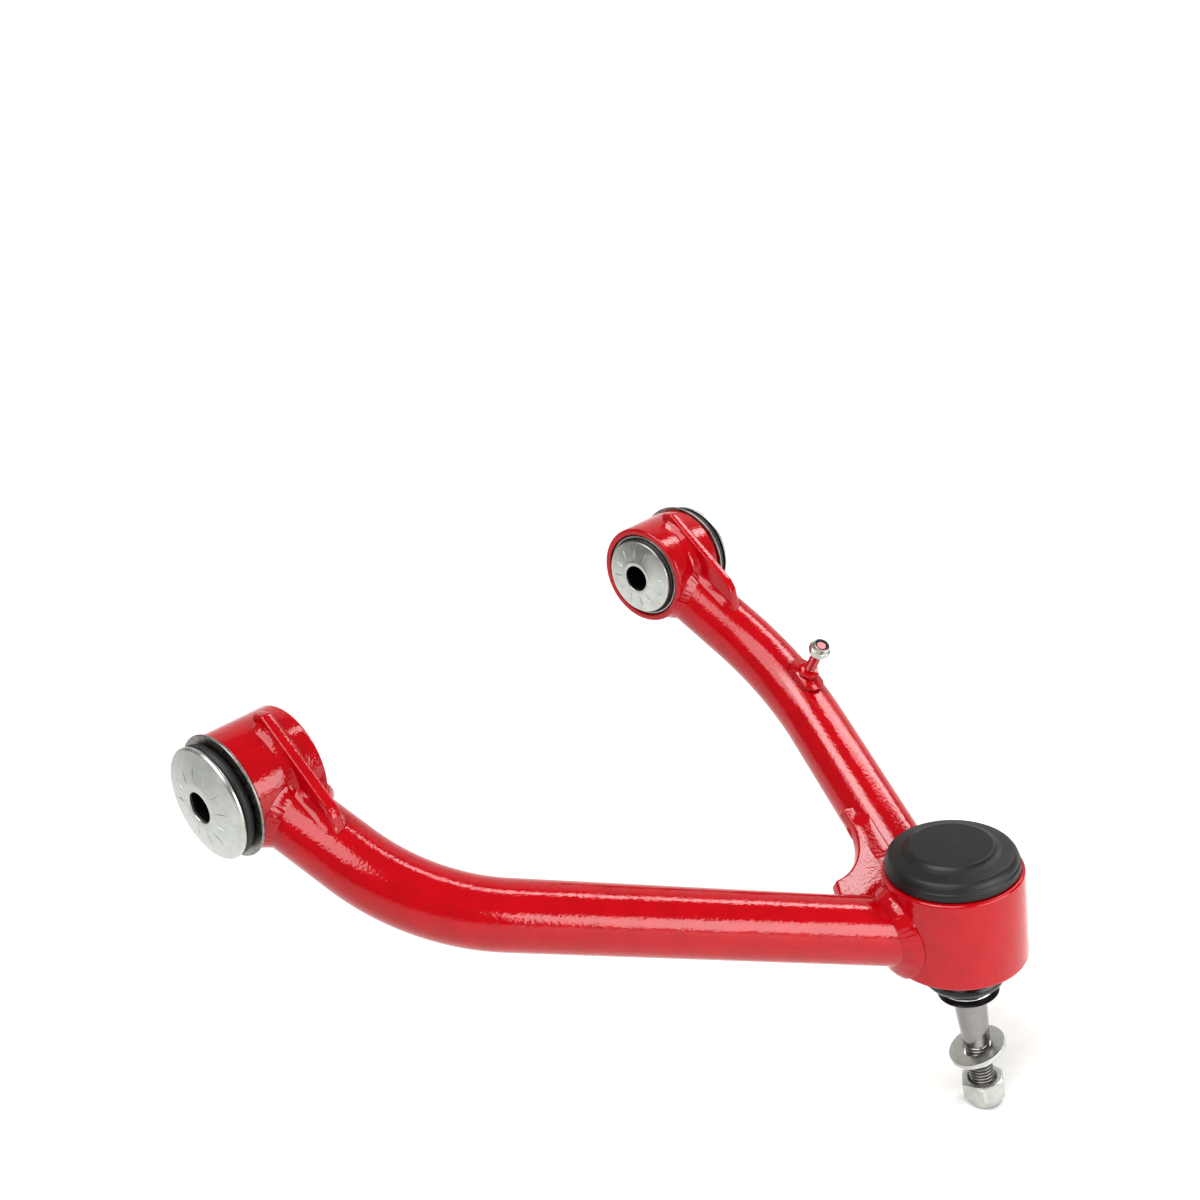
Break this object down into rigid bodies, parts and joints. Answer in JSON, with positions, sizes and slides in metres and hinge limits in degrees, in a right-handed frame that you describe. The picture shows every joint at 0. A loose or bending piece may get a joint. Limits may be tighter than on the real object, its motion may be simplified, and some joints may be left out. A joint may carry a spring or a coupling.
{
  "type": "automotive upper control arm",
  "caption": "Tubular V-shaped suspension control arm with rubber pivot bushings at its two eyes, a cartridge ball joint with a tapered stud, and a small hose bracket post.",
  "frame": {"origin": "midway between the two bushing eyes, on the pivot bolts' shared axis", "axes": "+X along the pivot axis, from the plain tube's eye to the eye of the tube that carries the hose bracket post; +Z along the ball joint housing's axis, dust cap up and stud down; the ball joint lies towards -Y"},
  "size_m": [0.3364, 0.2705, 0.2612],
  "materials": {
    "red_powder_coat": "glossy powder coat with a light orange peel",
    "zinc_plate": "pale zinc plating, satin",
    "bare_steel": "turned and ground steel",
    "black_rubber": "satin moulded rubber",
    "boot_rubber": "glossy moulded rubber",
    "cap_black": "satin black cover",
    "nylon_white": "acetal ball seat",
    "nylon_blue": "dark blue nylon locking ring",
    "wire": "bright spring wire"
  },
  "bodies": {
    "arm": {"tube_plain": "red_powder_coat", "tube_bracket": "red_powder_coat", "eye_plain": "red_powder_coat", "eye_bracket": "red_powder_coat", "gusset_plain": "red_powder_coat", "gusset_bracket": "red_powder_coat", "web": "red_powder_coat", "housing": "red_powder_coat", "weld_eye_plain": "red_powder_coat", "weld_eye_bracket": "red_powder_coat", "weld_housing_plain": "red_powder_coat", "weld_housing_bracket": "red_powder_coat", "line_saddle": "red_powder_coat", "line_base": "red_powder_coat", "line_post": "red_powder_coat", "bushing_shell_plain": "bare_steel", "bushing_rubber_plain": "black_rubber", "bushing_shell_bracket": "bare_steel", "bushing_rubber_bracket": "black_rubber", "joint_casing": "bare_steel", "cover_plate": "bare_steel", "snap_ring": "bare_steel", "seat_lower": "nylon_white", "seat_upper": "nylon_white", "dust_cap": "cap_black", "boot_base": "boot_rubber"},
    "sleeve_plain": {"bushing_sleeve_plain": "zinc_plate", "bushing_disc_outer_plain": "zinc_plate", "bushing_disc_inner_plain": "zinc_plate"},
    "sleeve_bracket": {"bushing_sleeve_bracket": "zinc_plate", "bushing_disc_outer_bracket": "zinc_plate", "bushing_disc_inner_bracket": "zinc_plate"},
    "boot_folds": {"boot_fold": "boot_rubber"},
    "boot_collar": {"boot_neck": "boot_rubber", "clip_ring": "wire"},
    "stud": {"stud": "bare_steel"},
    "washer": {"washer": "zinc_plate"},
    "stud_nut_ring": {"stud_nut_insert": "nylon_blue"},
    "stud_nut": {"stud_nut": "zinc_plate"},
    "line_nut_ring": {"line_nut_insert": "nylon_blue"},
    "line_nut": {"line_nut": "zinc_plate"}
  },
  "joints": [
    {"name": "plain_bushing_turn", "type": "hinge", "parent": "arm", "child": "sleeve_plain", "pos_m": [-0.1388, 0, 0], "axis": [1, 0, 0], "range_deg": [-25, 25], "stiffness_Nm_per_rad": 20},
    {"name": "bracket_bushing_turn", "type": "hinge", "parent": "arm", "child": "sleeve_bracket", "pos_m": [0.1388, 0, 0], "axis": [1, 0, 0], "range_deg": [-25, 25], "stiffness_Nm_per_rad": 20},
    {"name": "ball_tilt_x", "type": "hinge", "parent": "arm", "child": "boot_folds", "pos_m": [0.0764, -0.2096, -0.12], "axis": [1, 0, 0], "range_deg": [-11, 20], "deforming": ["boot_base", "boot_fold", "boot_neck"]},
    {"name": "ball_tilt_y", "type": "hinge", "parent": "boot_folds", "child": "boot_collar", "pos_m": [0.0764, -0.2096, -0.12], "axis": [0, 1, 0], "range_deg": [-16, 16], "deforming": ["boot_base", "boot_fold", "boot_neck"]},
    {"name": "stud_spin", "type": "hinge", "parent": "boot_collar", "child": "stud", "pos_m": [0.0764, -0.2096, -0.12], "axis": [0.0189, -0.0797, -0.9966], "continuous": true},
    {"name": "washer_slide", "type": "slide", "parent": "stud", "child": "washer", "axis": [0.0189, -0.0797, -0.9966], "range_m": [-0.003, 0.0105]},
    {"name": "stud_nut_travel", "type": "slide", "parent": "stud", "child": "stud_nut_ring", "axis": [0.0189, -0.0797, -0.9966], "range_m": [-0.0105, 0.007]},
    {"name": "stud_nut_spin", "type": "hinge", "parent": "stud_nut_ring", "child": "stud_nut", "pos_m": [0.07822, -0.21727, -0.21588], "axis": [0.0189, -0.0797, -0.9966], "range_deg": [-2160, 1440]},
    {"name": "line_nut_travel", "type": "slide", "parent": "arm", "child": "line_nut_ring", "axis": [-0.0804, -0.54, 0.8378], "range_m": [-0.012, 0.003]},
    {"name": "line_nut_spin", "type": "hinge", "parent": "line_nut_ring", "child": "line_nut", "pos_m": [0.13691, -0.09243, -0.05121], "axis": [-0.0804, -0.54, 0.8378], "range_deg": [-4320, 1080]}
  ],
  "couplings": [
    {"joint": "stud_nut_spin", "follows": "stud_nut_travel", "rad_per_m": 3590.4},
    {"joint": "line_nut_spin", "follows": "line_nut_travel", "rad_per_m": 6283.2}
  ]
}
